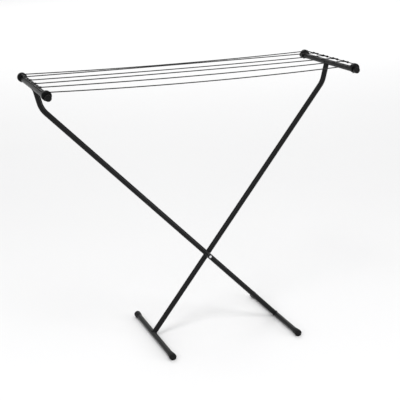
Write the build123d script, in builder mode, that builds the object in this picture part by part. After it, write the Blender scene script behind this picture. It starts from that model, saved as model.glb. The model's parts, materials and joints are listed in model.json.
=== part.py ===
from build123d import *
import math
import os

# Free-standing folding line dryer: two leg frames crossed like scissors on one bolt, each with a
# foot bar below and a bent neck that carries a cross tube above. Six lines run between the heads.
# Millimetres. +Z is up, +X runs along the lines, and the floor is at Z = 0.
# The origin is on the floor, under the middle of the dryer's length and width.

# Frame
TUBE_D = 18.0
TUBE_WALL = 1.2
HEAD_X = 506.0          # cross tubes' axes, either side of the middle
HEAD_Z = 900.0          # cross tubes' height
NECK_X = 490.0          # where the straight leg turns into the neck
NECK_Z = 833.0
NECK_BEND_R = 70.0
FOOT_X = {"a": 304.0, "b": -152.0}
FOOT_Z = 11.0
HEAD_TUBE_LENGTH = 382.0
FOOT_TUBE_LENGTH = 380.0
LEG_GAP = 1.2           # between the two crossed legs

# Heads
COLLAR_R = 15.4
COLLAR_RISE = 4.8       # collar's centre above the cross tube's axis, along the neck
COLLAR_Y = 176.0
COLLAR_WIDTH = 13.0
COLLAR_RIM = 2.4
COLLAR_ROUND = 1.2
COLLAR_DISH = 2.0
TUBE_BOSS_R = 10.9
RAIL_D = 3.0
RAIL_RISE = 17.0
RAIL_BOSS_R = 3.8
RAIL_RIB = 2.0            # rib between the rail's boss and the rim
RAIL_SOCKET = 6.0
PLUG_D = 20.6
PLUG_LAP = 5.0          # how far the plug's rim reaches back over the tube
PLUG_FACE = 6.0
PLUG_SPIGOT = 12.0
PLUG_ROUND = 2.0
PLUG_RECESS = 1.0
PLUG_RECESS_RIM = 3.2

# Lines
LINE_D = 3.4
INNER_LINE_Y = [112.0, 42.0, -28.0, -98.0]
OUTER_LINE_RISE = 14.4  # above the cross tube's axis, along the neck
LINE_SAG = [6.5, 1.5, 3.5, 2.5, 6.0, 9.0]
LINE_SOCKET = 3.0
CLAMP_LOBE_D = 7.0
CLAMP_LOBE = 8.0
CLAMP_LOBE_ROUND = 1.6
CLAMP_SPACING = 28.0
CLAMP_NECK_D = 5.0
CLAMP_SNOUT_D = 6.0
CLAMP_SNOUT = 6.0       # from the rail's axis to the mouth of the line's socket

# Foot caps
CAP_R = 11.6
CAP_MOUTH_R = 9.9
CAP_LENGTH = 28.0
CAP_BARREL = 10.0       # straight part at the closed end
CAP_END = 4.0
CAP_ROUND = 2.4

# Pivot
BOLT_D = 8.0
BOLT_HEAD_D = 13.0
BOLT_HEAD = 4.2
BOLT_HEAD_EDGE = 0.8    # upright edge under the crown
BOLT_SHORT = 1.0        # bolt end to the top of the nut's hexagon
SLEEVE_D = 10.0
SLEEVE_PROUD = 0.6
WASHER_D = 16.0
WASHER_T = 1.2
NUT_AF = 13.0
NUT_T = 5.5
SPACER_T = 1.0
WASHER_ROUND = 0.25
WASHER_SLACK = 0.2
NUT_DOME = 3.6
NUT_DOME_SHOULDER = 0.6
NUT_DOME_ROUND = 3.0

# Collar screws
SCREW_D = 3.0
SCREW_HEAD_D = 5.6
SCREW_HEAD = 2.0
SCREW_LENGTH = 7.0
SCREW_SLOT = 0.8

# Fits
FIT = 0.05              # radial clearance of a close fit
CLEAR = 0.3             # clearance of a loose fit

tube_r = TUBE_D / 2
bore_r = tube_r - TUBE_WALL
leg_y = {"a": -(tube_r + LEG_GAP / 2), "b": tube_r + LEG_GAP / 2}
side_of = {"a": -1.0, "b": 1.0}
lean = math.atan2(HEAD_X - NECK_X, HEAD_Z - NECK_Z)


def leg_slope(key):
    """Horizontal travel of a leg per millimetre of height."""
    return (side_of[key] * NECK_X - FOOT_X[key]) / (NECK_Z - FOOT_Z)


pivot_z = FOOT_Z + (FOOT_X["a"] - FOOT_X["b"]) / (leg_slope("b") - leg_slope("a"))
pivot_x = FOOT_X["a"] + leg_slope("a") * (pivot_z - FOOT_Z)


def head_plane(key, y):
    """Plane across the head, its y axis along the neck and its normal towards the front."""
    s = side_of[key]
    across = (math.cos(lean), 0, -s * math.sin(lean))
    return Plane(origin=(s * HEAD_X, y, HEAD_Z), x_dir=across, z_dir=(0, -1, 0))


def along_neck(key, rise):
    """Point (x, z) that stands rise above the cross tube's axis, along the neck."""
    s = side_of[key]
    return s * (HEAD_X + rise * math.sin(lean)), HEAD_Z + rise * math.cos(lean)


collar_x, collar_z = along_neck("b", COLLAR_RISE)
outer_z = along_neck("b", OUTER_LINE_RISE)[1]
outer_mouth = collar_x - math.sqrt(COLLAR_R**2 - (outer_z - collar_z) ** 2)


def pivot_plane(y):
    """Plane across the pivot's axis, its normal towards the back."""
    return Plane(origin=(pivot_x, y, pivot_z), x_dir=(1, 0, 0), z_dir=(0, 1, 0))


def save(part, name):
    """Label a finished piece and write its STEP file."""
    part.label = name
    export_step(part, f"parts/{name}.step")


os.makedirs("parts", exist_ok=True)

for key in ("a", "b"):
    s = side_of[key]
    ly = leg_y[key]

    # Leg: one straight run from the foot bar, bent outwards into the short neck
    with BuildPart() as leg:
        with BuildLine() as leg_path:
            FilletPolyline(
                (FOOT_X[key], ly, FOOT_Z),
                (s * NECK_X, ly, NECK_Z),
                (s * HEAD_X, ly, HEAD_Z),
                radius=NECK_BEND_R,
            )
        leg_foot = leg_path.line @ 0
        with BuildSketch(Plane(origin=leg_foot, x_dir=(0, 1, 0), z_dir=leg_path.line % 0)):
            Circle(tube_r)
            Circle(bore_r, mode=Mode.SUBTRACT)
        sweep()
        for x, z in ((s * HEAD_X, HEAD_Z), (FOOT_X[key], FOOT_Z)):
            with BuildSketch(Plane(origin=(x, 0, z), x_dir=(1, 0, 0), z_dir=(0, 1, 0))):
                Circle(tube_r)
            extrude(amount=2 * TUBE_D, both=True, mode=Mode.SUBTRACT)
        with BuildSketch(pivot_plane(ly)):
            Circle(SLEEVE_D / 2 + FIT)
        extrude(amount=TUBE_D, both=True, mode=Mode.SUBTRACT)
    save(leg.part, f"leg_tube_{key}")

    # Foot bar
    with BuildPart() as foot_tube:
        with BuildSketch(Plane(origin=(FOOT_X[key], 0, FOOT_Z), x_dir=(1, 0, 0), z_dir=(0, 1, 0))):
            Circle(tube_r)
            Circle(bore_r, mode=Mode.SUBTRACT)
        extrude(amount=FOOT_TUBE_LENGTH / 2, both=True)
    save(foot_tube.part, f"foot_tube_{key}")

    # Cross tube, drilled underneath for the two collar screws
    with BuildPart() as head_tube:
        with BuildSketch(head_plane(key, 0)):
            Circle(tube_r)
            Circle(bore_r, mode=Mode.SUBTRACT)
        extrude(amount=HEAD_TUBE_LENGTH / 2, both=True)
        for y in (COLLAR_Y, -COLLAR_Y):
            nx, nz = along_neck(key, -1.0)
            down = (nx - s * HEAD_X, 0, nz - HEAD_Z)
            with BuildSketch(Plane(origin=(s * HEAD_X, y, HEAD_Z), x_dir=(0, 1, 0), z_dir=down)):
                Circle(SCREW_D / 2 + FIT)
            extrude(amount=TUBE_D, mode=Mode.SUBTRACT)
    save(head_tube.part, f"head_tube_{key}")

    # Line rail: a round wire held in the two collars
    rail_end = COLLAR_Y - COLLAR_WIDTH / 2 + RAIL_SOCKET - CLEAR
    with BuildPart() as rail:
        with BuildSketch(head_plane(key, 0)):
            with Locations((0, RAIL_RISE)):
                Circle(RAIL_D / 2)
        extrude(amount=rail_end, both=True)
    save(rail.part, f"line_rail_{key}")

    for place, out in (("front", -1.0), ("rear", 1.0)):
        y_mid = out * COLLAR_Y

        # Collar: a dished round moulding on the cross tube, with a socket for the rail
        # in its inner face and one for the outer line in its side
        with BuildPart() as collar:
            with BuildSketch(head_plane(key, y_mid)):
                with Locations((0, COLLAR_RISE)):
                    Circle(COLLAR_R)
            extrude(amount=COLLAR_WIDTH / 2, both=True)
            fillet(collar.edges().filter_by(GeomType.CIRCLE), COLLAR_ROUND)
            face_y = y_mid + out * COLLAR_WIDTH / 2
            with BuildSketch(head_plane(key, face_y - out * COLLAR_DISH)):
                with Locations((0, COLLAR_RISE)):
                    Circle(COLLAR_R - COLLAR_RIM)
                Circle(TUBE_BOSS_R, mode=Mode.SUBTRACT)
                with Locations((0, RAIL_RISE)):
                    Circle(RAIL_BOSS_R, mode=Mode.SUBTRACT)
                with Locations((0, RAIL_RISE + RAIL_BOSS_R)):
                    Rectangle(RAIL_RIB, 2 * RAIL_BOSS_R, mode=Mode.SUBTRACT)
            extrude(amount=-out * 2 * COLLAR_DISH, mode=Mode.SUBTRACT)
            with BuildSketch(head_plane(key, y_mid)):
                Circle(tube_r + FIT)
            extrude(amount=COLLAR_WIDTH, both=True, mode=Mode.SUBTRACT)
            inner_y = y_mid - out * COLLAR_WIDTH / 2
            with BuildSketch(head_plane(key, inner_y)):
                with Locations((0, RAIL_RISE)):
                    Circle(RAIL_D / 2 + FIT)
            extrude(amount=-out * RAIL_SOCKET, mode=Mode.SUBTRACT)
            mouth = (s * outer_mouth, y_mid, outer_z)
            with BuildSketch(Plane(origin=mouth, x_dir=(0, 1, 0), z_dir=(s, 0, 0))):
                Circle(LINE_D / 2 + CLEAR)
            extrude(amount=LINE_SOCKET, both=True, mode=Mode.SUBTRACT)
            nx, nz = along_neck(key, -1.0)
            down = (nx - s * HEAD_X, 0, nz - HEAD_Z)
            with BuildSketch(Plane(origin=(s * HEAD_X, y_mid, HEAD_Z), x_dir=(0, 1, 0), z_dir=down)):
                Circle(SCREW_D / 2 + FIT)
            extrude(amount=TUBE_D, mode=Mode.SUBTRACT)
        save(collar.part, f"head_collar_{key}_{place}")

        # Round plug that closes the cross tube and stands out past the collar
        tube_end = out * HEAD_TUBE_LENGTH / 2
        with BuildPart() as plug:
            with BuildSketch(head_plane(key, tube_end + out * PLUG_FACE)):
                Circle(PLUG_D / 2)
            extrude(amount=out * (PLUG_FACE + PLUG_LAP))
            outer_rim = plug.edges().filter_by(GeomType.CIRCLE).sort_by(Axis.Y)
            fillet(outer_rim[0] if out < 0 else outer_rim[-1], PLUG_ROUND)
            with BuildSketch(head_plane(key, tube_end)):
                Circle(tube_r + FIT)
                Circle(bore_r - FIT, mode=Mode.SUBTRACT)
            extrude(amount=out * PLUG_SPIGOT, mode=Mode.SUBTRACT)
            with BuildSketch(head_plane(key, tube_end)):
                Circle(bore_r - FIT)
                Circle(bore_r - 2 * TUBE_WALL, mode=Mode.SUBTRACT)
            extrude(amount=out * PLUG_SPIGOT)
            with BuildSketch(head_plane(key, tube_end)):
                Circle(bore_r - 2 * TUBE_WALL)
            extrude(amount=out * PLUG_SPIGOT, mode=Mode.SUBTRACT)
            with BuildSketch(head_plane(key, tube_end + out * PLUG_FACE)):
                Circle(PLUG_D / 2 - PLUG_RECESS_RIM)
            extrude(amount=out * PLUG_RECESS, mode=Mode.SUBTRACT)
        save(plug.part, f"head_plug_{key}_{place}")

        # Foot cap: a sleeve that flares towards its closed end, flattened where it meets the floor
        cap_face = out * (FOOT_TUBE_LENGTH / 2 + CAP_END)
        with BuildPart() as cap:
            for y, r in (
                (cap_face - out * CAP_BARREL, CAP_R),
                (cap_face - out * CAP_LENGTH, CAP_MOUTH_R),
            ):
                with BuildSketch(Plane(origin=(FOOT_X[key], y, FOOT_Z), x_dir=(1, 0, 0), z_dir=(0, -1, 0))):
                    Circle(r)
            loft()
            barrel_start = Plane(
                origin=(FOOT_X[key], cap_face - out * CAP_BARREL, FOOT_Z),
                x_dir=(1, 0, 0),
                z_dir=(0, out, 0),
            )
            with BuildSketch(barrel_start):
                Circle(CAP_R)
            extrude(amount=CAP_BARREL)
            rims = cap.edges().filter_by(GeomType.CIRCLE).sort_by(Axis.Y)
            fillet(rims[0] if out < 0 else rims[-1], CAP_ROUND)
            foot_end = Plane(
                origin=(FOOT_X[key], out * FOOT_TUBE_LENGTH / 2, FOOT_Z),
                x_dir=(1, 0, 0),
                z_dir=(0, -out, 0),
            )
            with BuildSketch(foot_end):
                Circle(tube_r + FIT)
            extrude(amount=CAP_LENGTH, mode=Mode.SUBTRACT)
            split(bisect_by=Plane.XY, keep=Keep.TOP)
        save(cap.part, f"foot_cap_{key}_{place}")

# Line clamps: on each rail, a pair of lobes at each inner line, with the line's socket in one of them
for key in ("a", "b"):
    s = side_of[key]
    rx, rz = along_neck(key, RAIL_RISE)
    with BuildPart() as clamps:
        for y in INNER_LINE_Y:
            for y_lobe in (y, y - s * CLAMP_SPACING):
                with BuildSketch(Plane(origin=(rx, y_lobe, rz), x_dir=(1, 0, 0), z_dir=(0, 1, 0))):
                    Circle(CLAMP_LOBE_D / 2)
                extrude(amount=CLAMP_LOBE / 2, both=True)
        fillet(clamps.edges().filter_by(GeomType.CIRCLE), CLAMP_LOBE_ROUND)
        for y in INNER_LINE_Y:
            y_middle = y - s * CLAMP_SPACING / 2
            with BuildSketch(Plane(origin=(rx, y_middle, rz), x_dir=(1, 0, 0), z_dir=(0, 1, 0))):
                Circle(CLAMP_NECK_D / 2)
            extrude(amount=CLAMP_SPACING / 2, both=True)
            with BuildSketch(Plane(origin=(rx, y, rz), x_dir=(0, 1, 0), z_dir=(-s, 0, 0))):
                Circle(CLAMP_SNOUT_D / 2)
            extrude(amount=CLAMP_SNOUT)
            with BuildSketch(
                Plane(origin=(rx - s * CLAMP_SNOUT, y, rz), x_dir=(0, 1, 0), z_dir=(s, 0, 0))
            ):
                Circle(LINE_D / 2 + CLEAR)
            extrude(amount=LINE_SOCKET, mode=Mode.SUBTRACT)
        with BuildSketch(Plane(origin=(rx, 0, rz), x_dir=(1, 0, 0), z_dir=(0, 1, 0))):
            Circle(RAIL_D / 2 + FIT)
        extrude(amount=COLLAR_Y, both=True, mode=Mode.SUBTRACT)
    save(clamps.part, f"line_clamps_{key}")

    # Collar screws, one under each collar
    with BuildPart() as screws:
        for y in (COLLAR_Y, -COLLAR_Y):
            nx, nz = along_neck(key, -1.0)
            down = Vector(nx - s * HEAD_X, 0, nz - HEAD_Z)
            seat = Vector(s * HEAD_X, y, HEAD_Z) + down * (COLLAR_R - COLLAR_RISE)
            with BuildSketch(Plane(origin=seat, x_dir=(0, 1, 0), z_dir=down)):
                Circle(SCREW_HEAD_D / 2)
            extrude(amount=SCREW_HEAD)
            with BuildSketch(Plane(origin=seat, x_dir=(0, 1, 0), z_dir=down)):
                Circle(SCREW_D / 2)
            extrude(amount=-SCREW_LENGTH)
            with BuildSketch(Plane(origin=seat + down * SCREW_HEAD, x_dir=(0, 1, 0), z_dir=down)):
                Rectangle(SCREW_SLOT, SCREW_HEAD_D - 2 * SCREW_SLOT)
                Rectangle(SCREW_HEAD_D - 2 * SCREW_SLOT, SCREW_SLOT)
            extrude(amount=-SCREW_HEAD / 2, mode=Mode.SUBTRACT)
    save(screws.part, f"collar_screws_{key}")

# Pivot: steel sleeves through both legs, a bolt with a domed head in front and a domed nut behind
sleeve_span = {
    "a": (leg_y["a"] - tube_r - SLEEVE_PROUD, leg_y["a"] + tube_r),
    "b": (leg_y["b"] - tube_r, leg_y["b"] + tube_r + SLEEVE_PROUD),
}
for key in ("a", "b"):
    y_low, y_high = sleeve_span[key]
    with BuildPart() as sleeve:
        with BuildSketch(pivot_plane(y_low)):
            Circle(SLEEVE_D / 2)
            Circle(BOLT_D / 2 + FIT, mode=Mode.SUBTRACT)
        extrude(amount=y_high - y_low)
    save(sleeve.part, f"pivot_sleeve_{key}")

front_washer_y = sleeve_span["a"][0] - WASHER_T
rear_washer_y = sleeve_span["b"][1] + WASHER_SLACK
for name, y, thickness in (
    ("pivot_washer_front", front_washer_y, WASHER_T),
    ("pivot_spacer", sleeve_span["a"][1], SPACER_T),
    ("pivot_washer_rear", rear_washer_y, WASHER_T),
):
    with BuildPart() as washer:
        with BuildSketch(pivot_plane(y)):
            Circle(WASHER_D / 2)
            Circle(BOLT_D / 2 + FIT, mode=Mode.SUBTRACT)
        extrude(amount=thickness)
        fillet(washer.edges().filter_by(GeomType.CIRCLE).sort_by(SortBy.RADIUS)[-2:], WASHER_ROUND)
    save(washer.part, name)

nut_seat = rear_washer_y + WASHER_T
bolt_end = nut_seat + NUT_T - BOLT_SHORT
with BuildPart() as bolt:
    with BuildSketch(pivot_plane(front_washer_y)):
        Circle(BOLT_D / 2)
    extrude(amount=bolt_end - front_washer_y)
    with BuildSketch(pivot_plane(front_washer_y)):
        Circle(BOLT_HEAD_D / 2)
    extrude(amount=-BOLT_HEAD)
    head_rim = bolt.edges().filter_by(GeomType.CIRCLE).sort_by(Axis.Y)[0]
    fillet(head_rim, BOLT_HEAD - BOLT_HEAD_EDGE)
save(bolt.part, "pivot_bolt")

with BuildPart() as nut:
    with BuildSketch(pivot_plane(nut_seat)):
        RegularPolygon(NUT_AF / 2, 6, major_radius=False)
    extrude(amount=NUT_T)
    with BuildSketch(pivot_plane(nut_seat + NUT_T)):
        Circle(NUT_AF / 2 - NUT_DOME_SHOULDER)
    extrude(amount=NUT_DOME)
    fillet(nut.edges().filter_by(GeomType.CIRCLE).sort_by(Axis.Y)[-1], NUT_DOME_ROUND)
    with BuildSketch(pivot_plane(nut_seat)):
        Circle(BOLT_D / 2 + FIT)
    extrude(amount=NUT_T, mode=Mode.SUBTRACT)
save(nut.part, "pivot_nut")

# Lines: each hangs in one flat arc from socket to socket
rail_x, rail_z = along_neck("b", RAIL_RISE)
outer_start = outer_mouth + LINE_SOCKET - CLEAR
inner_start = rail_x - CLAMP_SNOUT + LINE_SOCKET - CLEAR
line_y = [COLLAR_Y] + INNER_LINE_Y + [-COLLAR_Y]
for index, (y, sag) in enumerate(zip(line_y, LINE_SAG), start=1):
    outer = index in (1, len(line_y))
    reach = outer_start if outer else inner_start
    z = outer_z if outer else rail_z
    with BuildPart() as line:
        with BuildLine() as line_path:
            ThreePointArc((-reach, y, z), (0, y, z - sag), (reach, y, z))
        with BuildSketch(Plane(origin=line_path.line @ 0, x_dir=(0, 1, 0), z_dir=line_path.line % 0)):
            Circle(LINE_D / 2)
        sweep()
    length = line_path.edges()[0].length
    filled = line.part.volume / (math.pi * LINE_D**2 / 4 * length)
    print(f"line_{index}: length {length:.1f}, volume over section times length {filled:.4f}")
    save(line.part, f"line_{index}")

print(f"pivot at X {pivot_x:.4f}, Z {pivot_z:.4f}")
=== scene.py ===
"""Looks of the folding line dryer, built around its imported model.

Two leg frames cross on one bolt. Each carries a cross tube with collars, plugs, a thin rail and
line clamps at the top, and a foot bar with flared caps at the bottom. Six covered lines run
between the heads. Metres throughout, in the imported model's own frame.
"""

from dataclasses import dataclass, field
from enum import Enum
import json
import logging
import math
from typing import Any, Sequence

import bmesh
import bpy
from mathutils import Matrix, Vector


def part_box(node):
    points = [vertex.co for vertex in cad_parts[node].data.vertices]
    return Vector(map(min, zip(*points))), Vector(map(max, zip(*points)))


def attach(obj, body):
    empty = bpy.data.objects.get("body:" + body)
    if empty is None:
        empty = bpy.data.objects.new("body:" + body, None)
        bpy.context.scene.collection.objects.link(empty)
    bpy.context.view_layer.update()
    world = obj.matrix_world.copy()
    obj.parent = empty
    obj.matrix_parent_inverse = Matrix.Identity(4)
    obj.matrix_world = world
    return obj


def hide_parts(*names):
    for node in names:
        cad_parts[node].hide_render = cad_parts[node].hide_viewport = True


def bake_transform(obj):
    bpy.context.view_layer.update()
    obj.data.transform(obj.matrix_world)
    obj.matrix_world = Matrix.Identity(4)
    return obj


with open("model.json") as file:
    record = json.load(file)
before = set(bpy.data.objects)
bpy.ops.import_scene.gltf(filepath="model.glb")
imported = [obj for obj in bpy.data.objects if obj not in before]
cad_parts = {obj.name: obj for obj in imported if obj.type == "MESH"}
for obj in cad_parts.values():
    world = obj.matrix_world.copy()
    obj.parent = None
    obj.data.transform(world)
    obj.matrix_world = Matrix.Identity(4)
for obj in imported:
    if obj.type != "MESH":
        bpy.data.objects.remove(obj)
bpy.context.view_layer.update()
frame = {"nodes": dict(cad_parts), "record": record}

LOG = logging.getLogger("line_dryer")
MM = 0.001
Colour = tuple[float, float, float]
Stretch = tuple[float, float, float]
Span = tuple[float, float]
ROUND_PIVOT: Stretch = (1.0, 0.0, 1.0)       # stretch that measures away from the bolt's own axis


class Side(Enum):
    """The two leg frames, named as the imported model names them."""

    A = "a"
    B = "b"

    @property
    def body(self) -> str:
        """Name of the body that this frame's pieces ride on."""
        return f"leg_frame_{self.value}"

    @property
    def out(self) -> float:
        """Direction along X in which this frame's head lies."""
        return -1.0 if self is Side.A else 1.0


def centre(node: str) -> Vector:
    """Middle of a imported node's box."""
    low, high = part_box(node)
    return (low + high) / 2


# ---------------------------------------------------------------- shader building


class Wire:
    """A number that flows through a node tree, with arithmetic that adds Math nodes."""

    def __init__(self, graph: "Graph", socket: bpy.types.NodeSocket) -> None:
        """Wrap a socket.

        Args:
            graph: the tree that the socket belongs to.
            socket: the output socket that carries the number.
        """
        self.graph = graph
        self.socket = socket

    def _math(self, operation: str, first: Any, second: Any) -> "Wire":
        """Add a Math node on two values.

        Args:
            operation: Blender's name of the operation.
            first: number or Wire.
            second: number or Wire.

        Returns:
            The node's result.
        """
        return self.graph.node("ShaderNodeMath", {"operation": operation}, {0: first, 1: second})

    def __add__(self, other: Any) -> "Wire":
        """Sum."""
        return self._math("ADD", self, other)

    __radd__ = __add__

    def __mul__(self, other: Any) -> "Wire":
        """Product."""
        return self._math("MULTIPLY", self, other)

    __rmul__ = __mul__

    def __sub__(self, other: Any) -> "Wire":
        """Difference."""
        return self._math("SUBTRACT", self, other)

    def __rsub__(self, other: Any) -> "Wire":
        """Difference, with the number first."""
        return self._math("SUBTRACT", other, self)

    def at_least(self, other: Any) -> "Wire":
        """The larger of this and another value."""
        return self._math("MAXIMUM", self, other)

    def at_most(self, other: Any) -> "Wire":
        """The smaller of this and another value."""
        return self._math("MINIMUM", self, other)

    def step(self, low: float, high: float) -> "Wire":
        """Smooth 0 to 1 as the value goes from low to high.

        Args:
            low: value that gives 0.
            high: value that gives 1; below low, the step falls instead.

        Returns:
            The smoothed value.
        """
        rising = high > low
        ends = {1: low, 2: high} if rising else {1: high, 2: low}
        mapped = self.graph.node(
            "ShaderNodeMapRange", {"interpolation_type": "SMOOTHSTEP"}, {0: self, **ends}
        )
        return mapped if rising else 1 - mapped


@dataclass(frozen=True)
class Waves:
    """A noise pattern: waves per metre, octaves, weight of the finer octaves and distortion."""

    per_metre: float
    octaves: float = 2.0
    weight: float = 0.5
    twist: float = 0.0


class Graph:
    """A material's node tree, with one Principled shader."""

    def __init__(self, name: str) -> None:
        """Make an empty material.

        Args:
            name: the material's name.
        """
        self.material = bpy.data.materials.new(name)
        self.material.use_nodes = True
        self.tree = self.material.node_tree
        self.tree.nodes.clear()
        self.shader = self.tree.nodes.new("ShaderNodeBsdfPrincipled")
        output = self.tree.nodes.new("ShaderNodeOutputMaterial")
        self.tree.links.new(self.shader.outputs["BSDF"], output.inputs["Surface"])

    def node(
        self,
        kind: str,
        settings: dict[str, Any] | None = None,
        values: dict[Any, Any] | None = None,
        take: Any = 0,
    ) -> Wire:
        """Add a node.

        Args:
            kind: Blender's type name of the node.
            settings: the node's properties; "stops" holds a ramp's positions and colours.
            values: its inputs by name or index, as numbers, tuples or Wires.
            take: name or index of the output that is wanted.

        Returns:
            The chosen output.
        """
        made = self.tree.nodes.new(kind)
        for key, value in (settings or {}).items():
            if key == "stops":
                ramp = made.color_ramp.elements
                while len(ramp) < len(value):
                    ramp.new(0.5)
                for element, (position, colour) in zip(ramp, value):
                    element.position = position
                    element.color = (*colour, 1.0)
            else:
                setattr(made, key, value)
        for key, value in (values or {}).items():
            self.feed(made.inputs[key], value)
        return Wire(self, made.outputs[take])

    def feed(self, socket: bpy.types.NodeSocket, value: Any) -> None:
        """Link a Wire to a socket, or set the socket's own value.

        Args:
            socket: the input socket.
            value: a Wire, or the number, tuple or colour to set.
        """
        if isinstance(value, Wire):
            self.tree.links.new(value.socket, socket)
        else:
            socket.default_value = value

    def set(self, **values: Any) -> None:
        """Feed the shader's sockets; underscores in the names stand for spaces."""
        for key, value in values.items():
            self.feed(self.shader.inputs[key.replace("_", " ")], value)

    def place(self, scale: Sequence[float] = (1, 1, 1), origin: Vector | None = None) -> Wire:
        """Object coordinates, moved so that origin is their zero and then scaled.

        Args:
            scale: factor along each axis.
            origin: the point that becomes zero.

        Returns:
            The coordinates.
        """
        where = self.node("ShaderNodeTexCoord", take="Object")
        start = origin or Vector((0, 0, 0))
        offset = tuple(-start[k] * scale[k] for k in range(3))
        return self.node(
            "ShaderNodeMapping", {}, {"Vector": where, "Location": offset, "Scale": tuple(scale)}
        )

    def noise(self, waves: Waves, where: Wire | None = None) -> Wire:
        """Noise on Object coordinates, or on given ones.

        Args:
            waves: the pattern.
            where: the coordinates.

        Returns:
            A value from 0 to 1.
        """
        values = {
            "Vector": where or self.place(),
            "Scale": waves.per_metre,
            "Detail": waves.octaves,
            "Roughness": waves.weight,
            "Distortion": waves.twist,
        }
        return self.node("ShaderNodeTexNoise", {}, values)

    def mix(self, share: Any, first: Any, second: Any) -> Wire:
        """Colour between first and second.

        Args:
            share: 0 gives first, and 1 gives second.
            first: colour as a tuple, or a Wire.
            second: colour as a tuple, or a Wire.

        Returns:
            The mixed colour.
        """
        ends = [(*c, 1.0) if isinstance(c, tuple) else c for c in (first, second)]
        return self.node(
            "ShaderNodeMix", {"data_type": "RGBA"}, {0: share, 6: ends[0], 7: ends[1]}, take=2
        )

    def bump(
        self, height: Wire, depth: float, strength: float = 1.0, below: Wire | None = None
    ) -> Wire:
        """Normal that stands for a small relief.

        Args:
            height: relief from 0 to 1.
            depth: its full depth in metres.
            strength: share of it that shows.
            below: normal of a coarser relief under this one.

        Returns:
            The normal.
        """
        values = {"Height": height, "Distance": depth, "Strength": strength}
        if below is not None:
            values["Normal"] = below
        return self.node("ShaderNodeBump", {}, values)

    def away_from(self, point: Vector, stretch: Sequence[float] = (1, 1, 1)) -> Wire:
        """Distance from a point, with each axis stretched first."""
        spot = self.place(stretch, point)
        return self.node("ShaderNodeVectorMath", {"operation": "LENGTH"}, {0: spot}, take="Value")


# ---------------------------------------------------------------- finishes


@dataclass(frozen=True)
class PowderCoat:
    """Black satin powder coat on steel, with orange peel, rubbed spots and wear at the pivot."""

    name: str = "black_powder_coat"
    colour: Colour = (0.0036, 0.0036, 0.0039)
    dusty: Colour = (0.0100, 0.0100, 0.0104)
    steel: Colour = (0.24, 0.24, 0.25)
    gloss: float = 0.13
    roughness: float = 0.25
    cloud_roughness: float = 0.10
    rub_roughness: float = 0.12
    grain_roughness: float = 0.05
    peel: Waves = Waves(620.0, 1.5, 0.4)
    peel_depth: float = 0.06 * MM
    peel_strength: float = 0.5
    grain: Waves = Waves(3100.0, 1.0, 0.5)
    grain_depth: float = 0.015 * MM
    grain_strength: float = 0.3
    clouds: Waves = Waves(14.0, 3.0, 0.55)
    patches: Waves = Waves(46.0, 5.0, 0.65, 0.4)
    patch_floor: float = 0.60
    patch_gain: float = 5.0
    specks: Waves = Waves(900.0, 2.0, 0.7)
    speck_edge: Span = (0.42, 0.62)
    rub: float = 0.35
    chips: Waves = Waves(260.0, 4.0, 0.7)
    chip_edge: Span = (0.44, 0.58)
    worn_ring: Span = (10.4 * MM, 8.6 * MM)
    wear: float = 0.4

    def make(self) -> bpy.types.Material:
        """Build the material.

        Returns:
            The material.
        """
        g = Graph(self.name)
        peel = g.noise(self.peel)
        grain = g.noise(self.grain)
        clouds = g.noise(self.clouds)
        patches = (g.noise(self.patches) - self.patch_floor).at_least(0.0) * self.patch_gain
        rub_and_glint = patches.at_most(1.0) * g.noise(self.specks).step(*self.speck_edge)
        ring = g.away_from(centre("pivot_bolt"), ROUND_PIVOT).step(*self.worn_ring)
        worn = ring * g.noise(self.chips).step(*self.chip_edge) * self.wear
        shade = g.mix(clouds, self.colour, self.dusty)
        shade = g.mix(rub_and_glint * self.rub, shade, self.dusty)
        fine = g.bump(grain, self.grain_depth, self.grain_strength,
                      g.bump(peel, self.peel_depth, self.peel_strength))
        g.set(
            Base_Color=g.mix(worn, shade, self.steel),
            Metallic=worn,
            Roughness=self.roughness + clouds * self.cloud_roughness
            + rub_and_glint * self.rub_roughness + grain * self.grain_roughness,
            Normal=fine,
            Specular_IOR_Level=self.gloss,
        )
        return g.material


@dataclass(frozen=True)
class Moulding:
    """Black moulded plastic with a fine grain, flow marks and rubbed high spots."""

    name: str
    colour: Colour = (0.0032, 0.0032, 0.0034)
    pale: Colour = (0.011, 0.011, 0.0114)
    gloss: float = 0.13
    roughness: float = 0.41
    flow_roughness: float = 0.10
    scuff_roughness: float = 0.35
    grain: Waves = Waves(1500.0, 3.0, 0.6)
    grain_depth: float = 0.05 * MM
    grain_strength: float = 0.45
    flow: Waves = Waves(60.0, 2.0, 0.5, 1.5)
    flow_stretch: Stretch = (1.0, 3.0, 1.0)
    flow_tint: float = 0.5
    scuff: Waves = Waves(170.0, 5.0, 0.75)
    scuff_stretch: Stretch = (1.0, 0.35, 2.2)
    scuff_edge: Span = (0.56, 0.72)
    scuffs: float = 0.3

    def make(self) -> bpy.types.Material:
        """Build the material.

        Returns:
            The material.
        """
        g = Graph(self.name)
        grain = g.noise(self.grain)
        flow = g.noise(self.flow, g.place(self.flow_stretch))
        scuffed = g.noise(self.scuff, g.place(self.scuff_stretch)).step(*self.scuff_edge)
        scuff = scuffed * self.scuffs
        shade = g.mix(flow * self.flow_tint, self.colour, self.pale)
        g.set(
            Base_Color=g.mix(scuff, shade, self.pale),
            Roughness=self.roughness + flow * self.flow_roughness + scuff * self.scuff_roughness,
            Normal=g.bump(grain, self.grain_depth, self.grain_strength),
            Specular_IOR_Level=self.gloss,
        )
        return g.material


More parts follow.
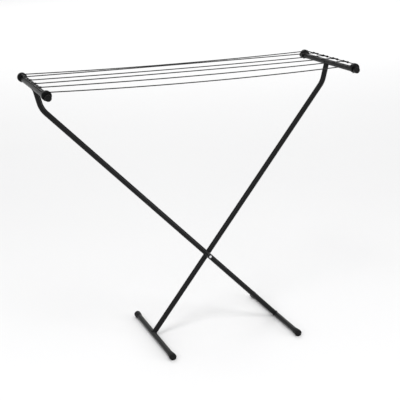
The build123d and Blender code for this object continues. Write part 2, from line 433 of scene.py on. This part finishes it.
@dataclass(frozen=True)
class PlatedSteel:
    """Zinc-plated steel with turned marks round the pivot's axis and a cloudy tint."""

    name: str
    colour: Colour = (0.56, 0.57, 0.59)
    cloudy: Colour = (0.34, 0.34, 0.33)
    dirt: Colour = (0.12, 0.11, 0.10)
    roughness: float = 0.30
    cloud_roughness: float = 0.22
    grime_roughness: float = 0.25
    turning: Waves = Waves(1500.0, 2.0)
    turning_depth: float = 0.02 * MM
    turning_strength: float = 0.4
    clouds: Waves = Waves(240.0, 4.0, 0.6)
    grime: Waves = Waves(520.0, 3.0, 0.7)
    grime_edge: Span = (0.55, 0.75)
    grime_tint: float = 0.6
    grime_cover: float = 0.35

    def make(self) -> bpy.types.Material:
        """Build the material.

        Returns:
            The material.
        """
        g = Graph(self.name)
        marks = g.node(
            "ShaderNodeTexNoise", {"noise_dimensions": "1D"},
            {
                "W": g.away_from(centre("pivot_bolt"), ROUND_PIVOT),
                "Scale": self.turning.per_metre,
                "Detail": self.turning.octaves,
            },
        )
        clouds = g.noise(self.clouds)
        grime = g.noise(self.grime).step(*self.grime_edge)
        plate = g.mix(clouds, self.colour, self.cloudy)
        g.set(
            Base_Color=g.mix(grime * self.grime_tint, plate, self.dirt),
            Metallic=1.0 - grime * self.grime_cover,
            Roughness=self.roughness + clouds * self.cloud_roughness
            + grime * self.grime_roughness,
            Normal=g.bump(marks, self.turning_depth, self.turning_strength),
        )
        return g.material


@dataclass(frozen=True)
class BlackedSteel:
    """Blacked steel fastener with a painted glint: bright metal painted in a ragged disc in the
    middle of its domed head.
    """

    name: str = "blacked_bolt_steel"
    # Bright metal of the painted glint in the middle of the head.
    painted_glint_colour: Colour = (0.78, 0.78, 0.80)
    black: Colour = (0.020, 0.020, 0.021)
    painted_glint_radii: Span = (5.2 * MM, 3.0 * MM)
    ragged: Waves = Waves(500.0, 3.0, 0.6)
    ragged_reach: float = 1.2 * MM
    black_metallic: float = 0.4
    roughness: float = 0.22
    cloud_roughness: float = 0.18
    clouds: Waves = Waves(380.0, 4.0, 0.6)
    grain: Waves = Waves(1400.0)
    grain_depth: float = 0.02 * MM
    grain_strength: float = 0.3

    def make(self) -> bpy.types.Material:
        """Build the material.

        Returns:
            The material.
        """
        g = Graph(self.name)
        reach = g.away_from(centre("pivot_bolt"), ROUND_PIVOT)
        ragged = reach + (g.noise(self.ragged) - 0.5) * self.ragged_reach
        # Mask of the painted glint: a ragged bright disc round the bolt's axis, which also sets
        # the metallic.
        rub_and_glint = ragged.step(*self.painted_glint_radii)
        g.set(
            Base_Color=g.mix(rub_and_glint, self.black, self.painted_glint_colour),
            Metallic=self.black_metallic + rub_and_glint * (1.0 - self.black_metallic),
            Roughness=self.roughness + g.noise(self.clouds) * self.cloud_roughness,
            Normal=g.bump(g.noise(self.grain), self.grain_depth, self.grain_strength),
        )
        return g.material


@dataclass(frozen=True)
class LineCover:
    """Black vinyl cover of a clothes line, drawn slightly glossy, with handling marks."""

    name: str = "black_line_cover"
    colour: Colour = (0.0045, 0.0045, 0.0048)
    pale: Colour = (0.014, 0.014, 0.0145)
    gloss: float = 0.15
    roughness: float = 0.30
    drawn_roughness: float = 0.16
    speck_roughness: float = 0.15
    drawn: Waves = Waves(90.0, 3.0, 0.6)
    drawn_stretch: Stretch = (0.08, 4.0, 4.0)
    drawn_tint: float = 0.4
    specks: Waves = Waves(700.0, 2.0, 0.6)
    speck_edge: Span = (0.62, 0.74)
    speck_tint: float = 0.5
    grain: Waves = Waves(1900.0)
    grain_depth: float = 0.02 * MM
    grain_strength: float = 0.3

    def make(self) -> bpy.types.Material:
        """Build the material.

        Returns:
            The material.
        """
        g = Graph(self.name)
        drawn = g.noise(self.drawn, g.place(self.drawn_stretch))
        specks = g.noise(self.specks).step(*self.speck_edge)
        shade = g.mix(drawn * self.drawn_tint, self.colour, self.pale)
        g.set(
            Base_Color=g.mix(specks * self.speck_tint, shade, self.pale),
            Roughness=self.roughness + drawn * self.drawn_roughness
            + specks * self.speck_roughness,
            Normal=g.bump(g.noise(self.grain), self.grain_depth, self.grain_strength),
            Specular_IOR_Level=self.gloss,
        )
        return g.material


@dataclass(frozen=True)
class Nylon:
    """Natural nylon of the spacer, slightly yellowed."""

    name: str = "natural_nylon"
    colour: Colour = (0.74, 0.72, 0.65)
    yellowed: Colour = (0.60, 0.57, 0.50)
    roughness: float = 0.38
    cloud_roughness: float = 0.12
    clouds: Waves = Waves(300.0, 3.0, 0.6)
    grain: Waves = Waves(1500.0)
    grain_depth: float = 0.03 * MM
    grain_strength: float = 0.3

    def make(self) -> bpy.types.Material:
        """Build the material.

        Returns:
            The material.
        """
        g = Graph(self.name)
        clouds = g.noise(self.clouds)
        g.set(
            Base_Color=g.mix(clouds, self.colour, self.yellowed),
            Roughness=self.roughness + clouds * self.cloud_roughness,
            Normal=g.bump(g.noise(self.grain), self.grain_depth, self.grain_strength),
        )
        return g.material


@dataclass(frozen=True)
class StudioFloor:
    """Pale seamless floor, very slightly mottled."""

    name: str = "studio_floor"
    colour: Colour = (0.86, 0.86, 0.863)
    mottle: Waves = Waves(1.3, 3.0, 0.5)
    mottle_shade: float = 0.985
    roughness: float = 0.75
    mottle_roughness: float = 0.1

    def make(self) -> bpy.types.Material:
        """Build the material.

        Returns:
            The material.
        """
        g = Graph(self.name)
        mottle = g.noise(self.mottle)
        shaded = tuple(self.mottle_shade * c for c in self.colour)
        g.set(
            Base_Color=g.mix(mottle, self.colour, shaded),
            Roughness=self.roughness + mottle * self.mottle_roughness,
        )
        return g.material


class Wardrobe:
    """Makes each finish once and hands it out by the record's slot names."""

    def __init__(self) -> None:
        """Choose a finish for every slot."""
        self.finishes: dict[str, Any] = {
            "frame_paint": PowderCoat(),
            "rail_wire": PowderCoat(
                "black_wire_coat", roughness=0.37,
                peel=Waves(1100.0, 1.5, 0.4), grain=Waves(5500.0, 1.0, 0.5),
            ),
            "head_plastic": Moulding("black_collar_moulding"),
            "plug_plastic": Moulding("black_plug_moulding", roughness=0.29, scuffs=0.2),
            "clamp_plastic": Moulding("black_clamp_moulding", roughness=0.37),
            "foot_plastic": Moulding("black_foot_moulding", roughness=0.50, scuffs=0.5),
            "bolt_steel": BlackedSteel(),
            "screw_steel": PlatedSteel("plated_screw_steel"),
            "sleeve_steel": PlatedSteel("turned_sleeve_steel"),
            "spacer_nylon": Nylon(),
            "line_cover": LineCover(),
        }
        self.made: dict[str, bpy.types.Material] = {}

    def material(self, slot: str) -> bpy.types.Material:
        """Find a slot's material, which is built when it is first wanted.

        Args:
            slot: the record's name of the slot.

        Returns:
            The material.
        """
        if slot not in self.made:
            self.made[slot] = self.finishes[slot].make()
        return self.made[slot]

    def dress_nodes(self) -> None:
        """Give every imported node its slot's finish."""
        for entry in frame["record"]["subparts"]:
            node = frame["nodes"][entry["node"]]
            for slot in node.material_slots:
                slot.material = self.material(entry["material_slot"])
            LOG.info("dressed %s in %s", entry["node"], entry["material_slot"])


# ---------------------------------------------------------------- mesh building


class Piece:
    """A new visible piece, built in a bmesh and kept at the origin."""

    sharp_angle: float = math.radians(38)

    def __init__(self, name: str) -> None:
        """Start an empty piece.

        Args:
            name: the finished object's name.
        """
        self.name = name
        self.bm = bmesh.new()

    def ring(
        self, middle: Vector, along: Vector, radii: Sequence[float], turn: float = 0.0
    ) -> list[Any]:
        """A ring of vertices across a direction.

        Args:
            middle: the ring's centre.
            along: the direction that it lies across.
            radii: distance of each vertex from the centre, in order round the ring.
            turn: angle of the first vertex, in radians.

        Returns:
            The ring's edges.
        """
        facing = along.to_track_quat("Z", "Y").to_matrix().to_4x4()
        matrix = Matrix.Translation(middle) @ facing @ Matrix.Rotation(turn, 4, "Z")
        made = bmesh.ops.create_circle(
            self.bm, cap_ends=False, segments=len(radii), radius=1.0, matrix=matrix
        )
        for vertex, radius in zip(made["verts"], radii):
            vertex.co = middle + (vertex.co - middle) * radius
        return list({e for v in made["verts"] for e in v.link_edges})

    def skin(self, rings: Sequence[list[Any]], closed: bool = False, caps: bool = True) -> None:
        """Bridge consecutive rings into one surface.

        Args:
            rings: edge loops in order.
            closed: whether the last ring joins the first.
            caps: whether the open ends are filled.
        """
        pairs = list(zip(rings, rings[1:]))
        if closed:
            pairs.append((rings[-1], rings[0]))
        for first, second in pairs:
            bmesh.ops.bridge_loops(self.bm, edges=[*first, *second])
        if caps and not closed:
            for ring in (rings[0], rings[-1]):
                bmesh.ops.contextual_create(self.bm, geom=ring)

    def finish(self, wardrobe: Wardrobe, slot: str, body: str | None) -> bpy.types.Object:
        """Turn the bmesh into a smooth-shaded object in its finish.

        Args:
            wardrobe: where the finish comes from.
            slot: the record's slot that the piece takes its finish from.
            body: the body that it rides on, or None to leave it on no body.

        Returns:
            The object.
        """
        bmesh.ops.recalc_face_normals(self.bm, faces=self.bm.faces[:])
        for face in self.bm.faces:
            face.smooth = True
        mesh = bpy.data.meshes.new(self.name)
        self.bm.to_mesh(mesh)
        self.bm.free()
        mesh.set_sharp_from_angle(angle=self.sharp_angle)
        mesh.materials.append(wardrobe.material(slot))
        made = bpy.data.objects.new(self.name, mesh)
        bpy.context.scene.collection.objects.link(made)
        if body:
            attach(made, body)
        LOG.info("made %s: %d faces", self.name, len(mesh.polygons))
        return made


# ---------------------------------------------------------------- sub-assemblies


@dataclass
class WeldedJoints:
    """Weld beads where the legs meet their cross tubes and foot bars."""

    tube_radius: float = 9.0 * MM
    bead_radius: float = 1.5 * MM
    ripples: int = 46
    ripple_depth: float = 0.16
    stations: int = 184
    facets: int = 8
    saddle_floor: float = 0.22
    neck_run: float = 16.0 * MM
    neck_drop: float = 67.0 * MM

    def bead(self, piece: Piece, joint: Vector, towards: Vector) -> None:
        """Lay one bead round a leg where it is coped onto a bar that runs along Y.

        Args:
            piece: the piece that the bead is added to.
            joint: where the two axes meet, in the plane of the leg.
            towards: direction of the leg away from the bar.
        """
        along = towards.normalized()
        across = Vector((0, 1, 0))
        beside = along.cross(across)
        rings = []
        for k in range(self.stations):
            angle = 2 * math.pi * k / self.stations
            rise = self.tube_radius * math.hypot(math.cos(angle), self.saddle_floor)
            spot = (
                joint
                + across * (self.tube_radius * math.cos(angle))
                + beside * (self.tube_radius * math.sin(angle))
                + along * rise
            )
            heading = across * -math.sin(angle) + beside * math.cos(angle)
            swell = 1 + self.ripple_depth * math.sin(self.ripples * angle)
            rings.append(piece.ring(spot, heading, [self.bead_radius * swell] * self.facets))
        piece.skin(rings, closed=True)

    def build(self, wardrobe: Wardrobe) -> None:
        """Weld both legs at both ends.

        Args:
            wardrobe: where the paint comes from.
        """
        pivot = centre("pivot_bolt")
        for side in Side:
            leg_low, leg_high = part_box(f"leg_tube_{side.value}")
            leg_y = (leg_low.y + leg_high.y) / 2
            head = centre(f"head_tube_{side.value}")
            foot = centre(f"foot_tube_{side.value}")
            neck = Vector((-side.out * self.neck_run, 0, -self.neck_drop))
            shin = Vector((pivot.x - foot.x, 0, pivot.z - foot.z))
            piece = Piece(f"weld_beads_{side.value}")
            self.bead(piece, Vector((head.x, leg_y, head.z)), neck)
            self.bead(piece, Vector((foot.x, leg_y, foot.z)), shin)
            piece.finish(wardrobe, "frame_paint", side.body)


@dataclass
class Lines:
    """The six covered lines, each with a lightly twisted core, hung in its own shallow curve."""

    diameter: float = 3.4 * MM
    sags: tuple[float, ...] = (6.5, 1.5, 3.5, 2.5, 6.0, 9.0)
    ring_gap: float = 3.2 * MM
    facets: int = 12
    strands: int = 3
    lay_length: float = 16.0 * MM
    groove: float = 0.05
    end_inset: float = 0.2 * MM

    def route(self, number: int) -> list[Vector]:
        """Give a line's control points: its two ends and the point that it sags towards.

        Args:
            number: the line's number, counted from the rear.

        Returns:
            The three points.
        """
        low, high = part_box(f"line_{number}")
        y = (low.y + high.y) / 2
        end_z = high.z - self.diameter / 2
        sag = self.sags[number - 1] * MM
        return [
            Vector((low.x + self.end_inset, y, end_z)),
            Vector((0.0, y, end_z - 2 * sag)),
            Vector((high.x - self.end_inset, y, end_z)),
        ]

    def centreline(self, number: int) -> list[Vector]:
        """Read points from a line's smooth spline.

        Args:
            number: the line's number, counted from the rear.

        Returns:
            The points in order, one ring gap or so apart.
        """
        points = self.route(number)
        span = (points[-1] - points[0]).length
        curve = bpy.data.curves.new(f"route_{number}", "CURVE")
        curve.dimensions = "3D"
        curve.resolution_u = round(span / self.ring_gap / (len(points) - 1))
        spline = curve.splines.new("NURBS")
        spline.points.add(len(points) - 1)
        for target, point in zip(spline.points, points):
            target.co = (*point, 1.0)
        spline.order_u = 3
        spline.use_endpoint_u = True
        holder = bpy.data.objects.new(f"route_{number}", curve)
        mesh = bpy.data.meshes.new_from_object(holder)
        found = [v.co.copy() for v in mesh.vertices]
        bpy.data.meshes.remove(mesh)
        bpy.data.objects.remove(holder)
        bpy.data.curves.remove(curve)
        return found

    def section(self) -> list[float]:
        """Shape the cover's section, which shows the core's strands as shallow lobes.

        Returns:
            Distance of each vertex from the line's middle.
        """
        turns = [self.strands * 2 * math.pi * k / self.facets for k in range(self.facets)]
        dips = [0.5 - 0.5 * math.cos(turn) for turn in turns]
        return [self.diameter / 2 * (1 - self.groove * dip) for dip in dips]

    def build(self, wardrobe: Wardrobe) -> None:
        """Make the lines, each hung in its own curve between the two frames.

        Args:
            wardrobe: where the cover's finish comes from.
        """
        radii = self.section()
        for number in range(1, len(self.sags) + 1):
            path = self.centreline(number)
            piece = Piece(f"covered_line_{number}")
            rings = []
            travelled = 0.0
            for k, point in enumerate(path):
                before = path[max(k - 1, 0)]
                after = path[min(k + 1, len(path) - 1)]
                travelled += (point - before).length
                twist = 2 * math.pi * travelled / self.lay_length
                rings.append(piece.ring(point, after - before, radii, twist))
            piece.skin(rings)
            made = piece.finish(wardrobe, "line_cover", None)
            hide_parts(f"line_{number}")
            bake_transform(made)


@dataclass(frozen=True)
class Lamp:
    """A square softbox: its place, what it faces, its side in metres and its power in watts."""

    name: str
    at: tuple[float, float, float]
    aim: tuple[float, float, float]
    size: float
    watts: float

    def build(self) -> None:
        """Hang the softbox."""
        lamp = bpy.data.lights.new(self.name, "AREA")
        lamp.size = self.size
        lamp.energy = self.watts
        holder = bpy.data.objects.new(self.name, lamp)
        holder.location = self.at
        facing = Vector(self.aim) - Vector(self.at)
        holder.rotation_euler = facing.to_track_quat("-Z", "Y").to_euler()
        bpy.context.scene.collection.objects.link(holder)


@dataclass
class Studio:
    """Floor, lights and camera."""

    floor_reach: float = 60.0
    camera_at: tuple[float, float, float] = (-1.0890, -2.9348, 1.4267)
    yaw: float = 20.827
    pitch: float = 16.926
    roll: float = -1.333
    lens: float = 87.71
    sensor: float = 36.0
    sees_to: float = 100.0
    world: Colour = (1.0, 1.0, 1.0)
    world_strength: float = 0.72
    lamps: list[Lamp] = field(
        default_factory=lambda: [
            Lamp("key_softbox", (-0.92, -1.52, 3.8), (0.0, 0.0, 0.3), 1.1, 44.0),
            Lamp("left_softbox", (-2.7, -2.8, 2.4), (0.0, 0.0, 0.5), 0.8, 26.0),
            Lamp("right_softbox", (3.2, -2.7, 1.1), (0.0, 0.0, 0.5), 0.9, 34.0),
            Lamp("back_softbox", (3.5, 9.0, 7.0), (3.5, 9.5, 0.0), 9.0, 430.0),
        ]
    )

    def build_floor(self) -> None:
        """Lay the floor at the height of the feet's lowest point."""
        bm = bmesh.new()
        bmesh.ops.create_grid(bm, x_segments=2, y_segments=2, size=self.floor_reach)
        mesh = bpy.data.meshes.new("studio_floor")
        bm.to_mesh(mesh)
        bm.free()
        mesh.materials.append(StudioFloor().make())
        floor = bpy.data.objects.new("studio_floor", mesh)
        bpy.context.scene.collection.objects.link(floor)

    def build_lights(self) -> None:
        """Hang the softboxes and light the world."""
        world = bpy.data.worlds.new("studio_world")
        world.use_nodes = True
        back = world.node_tree.nodes["Background"]
        back.inputs["Color"].default_value = (*self.world, 1.0)
        back.inputs["Strength"].default_value = self.world_strength
        bpy.context.scene.world = world
        for lamp in self.lamps:
            lamp.build()

    def build_camera(self) -> None:
        """Set the camera up to the left in front of the dryer, looking down at it."""
        data = bpy.data.cameras.new("camera")
        data.lens = self.lens
        data.sensor_width = self.sensor
        data.dof.use_dof = False
        data.clip_end = self.sees_to
        camera = bpy.data.objects.new("camera", data)
        turn = (
            Matrix.Rotation(math.radians(-self.yaw), 3, "Z")
            @ Matrix.Rotation(math.radians(90.0 - self.pitch), 3, "X")
            @ Matrix.Rotation(math.radians(self.roll), 3, "Z")
        )
        camera.location = self.camera_at
        camera.rotation_euler = turn.to_euler()
        bpy.context.scene.collection.objects.link(camera)
        bpy.context.scene.camera = camera
        bpy.context.scene.view_settings.view_transform = "Standard"

    def build(self) -> None:
        """Build the whole studio."""
        self.build_camera()
        self.build_floor()
        self.build_lights()


def main() -> None:
    """Build the studio and the dryer's looks, in order."""
    logging.basicConfig(level=logging.INFO, format="%(name)s: %(message)s")
    Studio().build()
    wardrobe = Wardrobe()
    Lines().build(wardrobe)
    wardrobe.dress_nodes()
    WeldedJoints().build(wardrobe)


if __name__ == "__main__":
    main()
